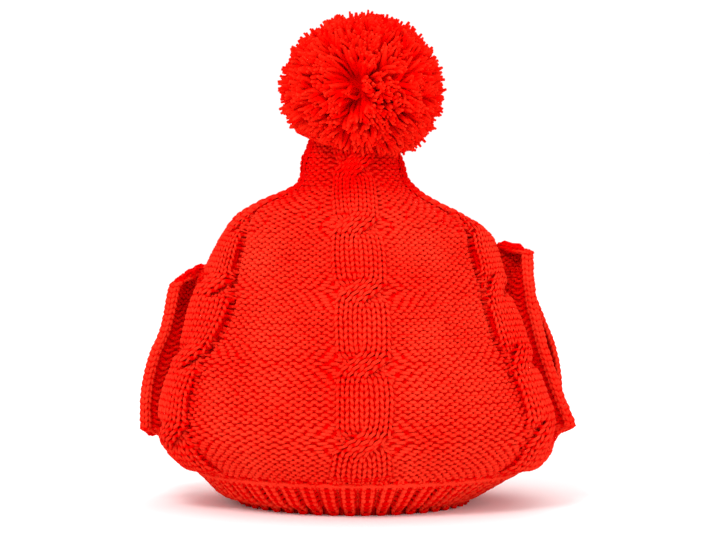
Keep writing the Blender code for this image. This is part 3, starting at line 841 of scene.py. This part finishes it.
knit_yarn = acrylic_with_painted_light("Acrylic knitting yarn with painted light", "#E00000", "#FF4229", bump_mm=0.3)
pompom_yarn = acrylic_with_painted_light("Cut acrylic pompom yarn", "#F80000", "#FF3019", bump_mm=0.25)
print("materials:", knit_yarn.name, "and", pompom_yarn.name)

# %% [markdown]
# ## Knitting the panels
#
# Each panel becomes three pieces of yarn: the ribbed band, the lower body and the upper body. Parts of
# this size stay easy to handle, and the split follows a row, where no eye would find it. A cable's two
# strands leave a tunnel where they cross, so a short length of yarn fills it.

# %% Knit both panels
SPLIT_ROW = 25


def crossing_heart(side, crossing):
    """Yarn in the tunnel between two crossing strands, so no light comes through from the side."""
    rows = crossing + np.linspace(-1.7, 1.7, 7)
    points = cloth_point(side, CENTRE, rows, MIDDLE + CABLE_RELIEF * 0.6)
    # Its painted light is low: painted shade for yarn in the tunnel.
    return points, np.full(len(rows), 1.25), np.full(len(rows), 0.2)


def knit(name, side, rows, row_maker):
    lines = [row_maker(side, row) for row in rows]
    if row_maker is band_row:
        lines += [turning_row(side, TURNING_ROW)]
        lines += [rib_heart(side, rib) for rib in range(2 - RIBS, RIBS, 2)]
    else:
        crossings = np.arange(FIRST_CROSSING, TOP_ROW, CROSSING_EVERY)
        lines += [crossing_heart(side, row) for row in crossings if rows[0] <= row <= rows[-1]]
    return yarn_piece(name, lines, YARN, knit_yarn)


panels = {}
for side in ("front", "back"):
    panels[side] = [
        knit(side + "_ribbed_hem", side, range(HEM_ROW, 0), band_row),
        knit(side + "_lower_rows", side, range(0, SPLIT_ROW), body_row),
        knit(side + "_upper_rows", side, range(SPLIT_ROW, TOP_ROW + 1), body_row),
    ]

# %% [markdown]
# ## Sewing up
#
# Below and above each slit the panels are sewn edge to edge, by a yarn that zigzags between them.
# Where a slit opens or closes, the cloth makes a short shelf, and extra rows cover it because the
# body's own lie far apart there.

# %% Sew the side seams
SEAMS = {"spout": ("front", "back"), "handle": ("back", "front")}  # whose left and right edges meet
SEAM_REACH = 0.12  # how far into each edge strip the needle goes in


def seam_stitches(hand, low, high):
    """Yarn that zigzags between the two panels' edges, below or above a slit."""
    left, right = SEAMS[hand]
    rows = np.arange(row_of(low), row_of(high), 0.5)
    one = cloth_point(left, SEAM_REACH, rows, -1.3)
    other = cloth_point(right, 9 - SEAM_REACH, rows, -1.3)
    zigzag = np.where((np.arange(len(rows)) % 2 == 0)[:, None], one, other)
    # The sewing yarn gets little painted light: painted shade between the edges.
    return zigzag, np.full(len(rows), 1.1), np.full(len(rows), 0.3)


seam_lines = []
for hand in SEAMS:
    # The sewing runs a little past the ends of the slit, where the edges still lie together.
    low = max(SLITS[(side, hand)][0] for side in panels)
    high = min(SLITS[(side, hand)][1] for side in panels)
    seam_lines += [seam_stitches(hand, 1.0, low + 3), seam_stitches(hand, high - 1, 168.0)]
print("seams:", len(seam_lines), "lines of yarn")

# %% Cover the shelves


def shelf_row(side, mirrored, z):
    """Yarn along the shelf of cloth where a slit opens or closes."""
    share = np.linspace(0.02, 2.2, 60)
    wave = np.sin(share * 8 * math.pi)
    place = 9 - share if mirrored else share
    points = cloth_point(side, place, row_of(z) + 0.05 * wave, -1.0 + 0.25 * wave)
    # Painted light rises and falls with the wave: painted highlight on its crests, painted shade in its
    # troughs.
    return points, np.full(len(share), 0.9), 0.45 + 0.3 * wave


for side in panels:
    for mirrored, hand in enumerate(HANDS[side]):
        low, high, _ = SLITS[(side, hand)]
        bottom = np.linspace(low + 0.5, low + SLIT_OPENS_IN, 5)
        top = np.linspace(high - SLIT_CLOSES_IN[hand], high - 0.3, 8)
        seam_lines += [shelf_row(side, mirrored, z) for z in (*bottom, *top)]
seams = yarn_piece("side_seams", seam_lines, YARN, knit_yarn)

# %% [markdown]
# ## The cloth between the loops
#
# Real stitches press against each other, so little light comes through. A thin sheet through the middle
# of the knit closes the gaps, in the deep red that the yarn has as painted shade. The loops stand out
# from it on both sides, so the inside of the cosy shows its rows too.

# %% Rows of the middle sheet
SHEET_LIFT = -1.4
SHEET_THICK = 0.5
SHEET_SINKS = 2.1  # deeper behind the ribbed band
SHEET_DITCH = (1.53, 0.045, 1.7)  # and in the ditches, given as a fold


def sheet_points(side, place, row, lift):
    """A row of the middle sheet."""
    lift = lift - SHEET_SINKS * float(ease(-row / 2))
    lift = lift - fold(place, SHEET_DITCH) * float(ease(row / 8))
    for k, name in enumerate(STRIPS):
        if name == "cable":
            across = place - k
            crossed = hump(from_crossing(row) / 2.1, 4)
            under = CABLE_RELIEF - 0.3 - (CABLE_RELIEF - 0.7) * crossed
            body = float(ease(row / 2)) * float(relief_of(k, row))
            inside = (across >= 0) & (across <= 1)
            rise = under * np.sqrt(np.clip(1 - ((across - 0.5) / 0.47) ** 2, 0, 1)) * body
            lift = np.where(inside, lift + rise, lift)
    return cloth_point(side, place, np.full_like(place, row), lift)


print("sheet:", SHEET_THICK, "mm thick")

# %% Middle sheet of a panel


def middle_sheet(side):
    """A closed sheet with an outer and an inner side, joined along the rim."""
    near = np.array([-3.4, -2.4, -1.4, -0.6, 0.4, 0.8, 1.2, 1.8, 2.6]) * DITCH_AT
    places = np.union1d(np.linspace(0, 9, 109), np.concatenate([3 + near, 6 - near]))
    last_rows = [TOP_ROW + 0.5, TOP_ROW + 1.5, CLOTH_UP[-1]]
    rows = np.concatenate([np.arange(CLOTH_UP[0], TOP_ROW, 1.0), last_rows])
    lifts = (SHEET_LIFT, SHEET_LIFT - SHEET_THICK)
    vertices = [sheet_points(side, places, row, lift) for lift in lifts for row in rows]
    faces = []
    wide, tall = len(places), len(rows)
    inner = wide * tall
    for j in range(tall - 1):
        for i in range(wide - 1):
            a = j * wide + i
            faces.append((a, a + 1, a + wide + 1, a + wide))
            faces.append((inner + a, inner + a + wide, inner + a + wide + 1, inner + a + 1))
    rim = list(range(wide)) + [j * wide + wide - 1 for j in range(1, tall)]
    rim += [(tall - 1) * wide + i for i in range(wide - 2, -1, -1)]
    rim += [j * wide for j in range(tall - 2, 0, -1)]
    for a, b in zip(rim, rim[1:] + rim[:1]):
        faces.append((b, a, inner + a, inner + b))
    mesh = bpy.data.meshes.new(side + "_cloth")
    mesh.from_pydata((np.concatenate(vertices) * MM).tolist(), [], faces)
    mesh.polygons.foreach_set("use_smooth", [True] * len(faces))
    # With no painted-light attribute, the sheet takes the deep red of painted shade.
    mesh.materials.append(knit_yarn)
    sheet = put(side + "_cloth", mesh)
    area = sum(face.area for face in mesh.polygons) / 2
    print(sheet.name, len(faces), "faces, area", round(area, 4), "square metres")
    return sheet


cloth = {side: middle_sheet(side) for side in ("front", "back")}

# %% [markdown]
# ## The pompom
#
# A pompom is yarn wound in a thick hank, tied hard round its middle, cut open and trimmed to a ball.
# Every strand starts at the tie, and the cut ends bloom into small brushes. Where two halves of the
# hank part over the tie, the ball has a hollow and strands show along their length. Tufts are spread
# evenly, and each is a handful of strands that start together and fan out.

# %% Form of the pompom
POMPOM_CENTRE = np.array([2.1, -1.5, 193.5])
POMPOM_RADII = np.array([39.6, 38.6, 36.2])
NECK_TOP = 163.3  # no strand goes lower
# Each parting runs from one direction to another; the last two numbers are its width and its depth.
PARTINGS = (
    ((-0.06, -0.99, -0.10), (-0.26, -0.87, 0.42), 0.45, 1.0),
    ((-0.03, -0.98, -0.16), (0.47, -0.70, -0.54), 0.22, 0.5),
    ((-0.08, -0.98, -0.14), (-0.24, -0.88, -0.42), 0.22, 0.45),
    ((-0.40, -0.90, -0.05), (-0.75, -0.65, 0.12), 0.16, 0.2),
    ((0.35, -0.80, 0.48), (0.62, -0.70, 0.35), 0.20, 0.4),
)


def pompom_reach(direction):
    """Distance from the pompom's centre to its trimmed surface in a direction."""
    return 1 / float(np.linalg.norm(direction / POMPOM_RADII))


def rest_on_neck(points, droop):
    """Strands under the ball splay out over the neck; the ball leans, so its left side sits higher."""
    floor = NECK_TOP + droop - np.where(points[:, 0] < 0, 0.42, 0.08) * points[:, 0]
    sunk = np.maximum(floor - points[:, 2], 0)
    flat = np.maximum(np.hypot(points[:, 0], points[:, 1]), 1.0)
    points[:, :2] *= (1 + 0.25 * sunk / flat)[:, None]
    points[:, 2] += sunk
    return points


def unit(vector):
    return vector / np.linalg.norm(vector)


def from_parting(direction, parting):
    """How far a direction is from a parting, and the way that leads away from it."""
    start, end = unit(np.array(parting[0])), unit(np.array(parting[1]))
    along = np.clip(np.dot(direction - start, end - start) / np.dot(end - start, end - start), 0, 1)
    nearest = unit(start + (end - start) * along)
    away = direction - nearest
    return float(np.linalg.norm(away)), away / max(float(np.linalg.norm(away)), 1e-6)


print("reach to the front:", round(pompom_reach(np.array([0.0, -1.0, 0.0])), 1), "mm")

# %% One strand of a tuft
STRAND_STEPS = (0.0, 0.32, 0.58, 0.8, 1.0)
STRAND_PAINTED_LIGHT = np.array([0.0, 0.25, 0.5, 0.75, 1.0])  # painted shade near the tie, and a painted highlight at the cut end, which is lightest
STRAND_THICKNESS = np.array([1.0, 1.05, 1.1, 1.05, 0.55])
# What chance does to each tuft and strand; sway and curl are in millimetres.
CHANCE = {"spot": 0.05, "trim": 0.05, "lean": 0.1, "length": 0.08, "sway": 1.2, "curl": 0.8}


def one_strand(rng, axis, lean, sides, start, reach, near, droop):
    """Points from near the tie to the cut end, swaying a little and fanned out from the tuft's axis."""
    spin, spread = rng.uniform(0, 2 * math.pi), math.sqrt(rng.uniform(0, 1))
    fan = sides[0] * math.cos(spin) * spread + sides[1] * math.sin(spin) * spread
    length = reach * (1 - CHANCE["length"] * rng.uniform(0, 1))
    sway, curl = rng.normal(size=3) * CHANCE["sway"], rng.normal(size=3) * CHANCE["curl"]
    points = []
    for step in STRAND_STEPS:
        t = start + (1 - start) * step
        heading = unit(axis * (1 - t) + lean * t)
        fanned = fan * (1.0 + 2.0 * t**2) * (1 - 0.5 * near)
        fanned = fanned + sway * math.sin(step * math.pi) + curl * step**3
        points.append(POMPOM_CENTRE + heading * length * t + fanned)
    points = rest_on_neck(np.array(points), droop)
    # Painted light along the strand, weaker on some strands than on others.
    painted_light = STRAND_PAINTED_LIGHT * rng.uniform(0.6, 1.0)
    return points, STRAND_THICKNESS * rng.uniform(0.85, 1.1), painted_light


print("points in a strand:", len(STRAND_STEPS))

# %% All tufts of the pompom
TUFTS = 760
STRANDS_A_TUFT = 7
STRAND = 2.1  # diameter of a strand, a little fluffed up
BARE = {"main": 0.095, "any": 0.04}  # no tuft starts this close to the main parting, or to any


def pompom_strands():
    """Tufts spread evenly over the ball along a spiral, bent away from the partings."""
    rng = np.random.default_rng(SEED)
    strands = []
    for i in range(TUFTS):
        up = 1 - 2 * (i + 0.5) / TUFTS
        turn = i * math.pi * (3 - math.sqrt(5))
        ring = math.sqrt(1 - up * up)
        spot = np.array([ring * math.cos(turn), ring * math.sin(turn), up])
        axis = unit(spot + rng.uniform(-CHANCE["spot"], CHANCE["spot"], 3))
        found = [from_parting(axis, parting) for parting in PARTINGS]
        near = [float(ease(1 - far / line[2])) * line[3] for (far, _), line in zip(found, PARTINGS)]
        gap, away = found[int(np.argmax(near))]
        near = max(near)
        if found[0][0] < BARE["main"] or gap < BARE["any"]:
            continue
        # The left bank of the parting slopes down into it; the right bank stands up beside it.
        hollow = near * (1.0 if away[0] < 0.2 else 0.3)
        reach = pompom_reach(axis) * (1 - 0.13 * hollow) * (1 - CHANCE["trim"] * rng.uniform(0, 1))
        lean = unit(axis + away * 0.25 * hollow + rng.normal(size=3) * CHANCE["lean"])
        droop = rng.uniform(-1.5, 1.0)
        side = unit(np.cross(axis, rng.normal(size=3)))
        sides = (side, np.cross(axis, side))
        start = 0.55 - 0.25 * near
        for _ in range(STRANDS_A_TUFT):
            strands.append(one_strand(rng, axis, lean, sides, start, reach, near, droop))
    return strands


pompom = yarn_piece("pompom_strands", pompom_strands(), STRAND, pompom_yarn)

# %% [markdown]
# ## The tied heart
#
# Deep between the strands the yarn is pressed solid round its tie. A small closed ball stands for it,
# furrowed along the partings, so that no light comes through the pompom.

# %% The tied heart of the pompom
HEART_SHARE = 0.72  # of the ball's radii
FURROW = 0.6  # and this much less along a parting
heart_shape = bmesh.new()
bmesh.ops.create_icosphere(heart_shape, subdivisions=3, radius=HEART_SHARE)
for vertex in heart_shape.verts:
    gaps = [from_parting(unit(np.array(vertex.co)), parting)[0] for parting in PARTINGS[:3]]
    nearest = min(gaps[0], gaps[1] + 0.2, gaps[2] + 0.2)
    deep = 1 - FURROW * float(ease(1 - nearest / 0.6))
    vertex.co = (POMPOM_CENTRE + np.array(vertex.co) * POMPOM_RADII * deep) * MM
heart_mesh = bpy.data.meshes.new("pompom_heart")
heart_shape.to_mesh(heart_mesh)
heart_shape.free()
# With no painted-light attribute, the heart takes the deep red of painted shade.
heart_mesh.materials.append(pompom_yarn)
heart = put("pompom_heart", heart_mesh)
print("heart:", len(heart_mesh.polygons), "triangles")

# %% [markdown]
# ## The table and the light
#
# A pale floor and broad soft lights from the front keep the red even. The shadows that matter are the
# small ones between loops; those come from the geometry, and the yarn's colour adds painted shade in
# the ditches, grooves and neck.

# %% Floor
FAR = 40.0  # metres, so that the floor's edge is never seen
corners = [(-FAR, -FAR, 0), (FAR, -FAR, 0), (FAR, FAR, 0), (-FAR, FAR, 0)]
floor_mesh = bpy.data.meshes.new("floor")
floor_mesh.from_pydata(corners, [], [(0, 1, 2, 3)])
floor = put("floor", floor_mesh)
matt_paper = bpy.data.materials.new("Matt white paper")
matt_paper.use_nodes = True
paper = matt_paper.node_tree.nodes["Principled BSDF"]
paper.inputs["Base Color"].default_value = colour("#FCFCFC")
paper.inputs["Roughness"].default_value = 0.9
floor_mesh.materials.append(matt_paper)
print("floor:", 2 * FAR, "m wide")

# %% Lights
LIT = (0, 0, 0.1)  # the middle of the cosy, in metres


def soft_light(name, place, size, power):
    """A round lamp at a place, turned to face the cosy."""
    lamp = put(name, bpy.data.lights.new(name, "AREA"))
    lamp.data.shape = "DISK"
    lamp.data.size = size
    lamp.data.energy = power
    direction = np.array(LIT) - np.array(place)
    lamp.location = place
    lamp.rotation_euler = (
        math.atan2(math.hypot(direction[0], direction[1]), -direction[2]),
        0.0,
        math.atan2(direction[1], direction[0]) - math.pi / 2,
    )


soft_light("key", (-0.45, -1.0, 1.3), 0.6, 12.0)
soft_light("fill", (1.2, -1.0, 0.6), 0.9, 3.0)
soft_light("rim", (0.3, 1.2, 1.0), 0.9, 5.0)
world = bpy.data.worlds.new("Studio")
world.use_nodes = True
sky = world.node_tree.nodes["Background"]
sky.inputs["Color"].default_value = colour("#FFFFFF")
sky.inputs["Strength"].default_value = 1.05
bpy.context.scene.world = world

# %% [markdown]
# ## Tying the pieces to the model
# Every piece rides on the one body and stands for the solid it covers. Each panel's sheet is declared
# as draped cloth with the size it was knitted to.

# %% Ride and replace
for side in ("front", "back"):
    for piece in panels[side] + [cloth[side]]:
        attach(piece, "root")
    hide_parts(side + "_panel")
for piece in (pompom, heart):
    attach(piece, "root")
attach(seams, "root")
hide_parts("pompom")
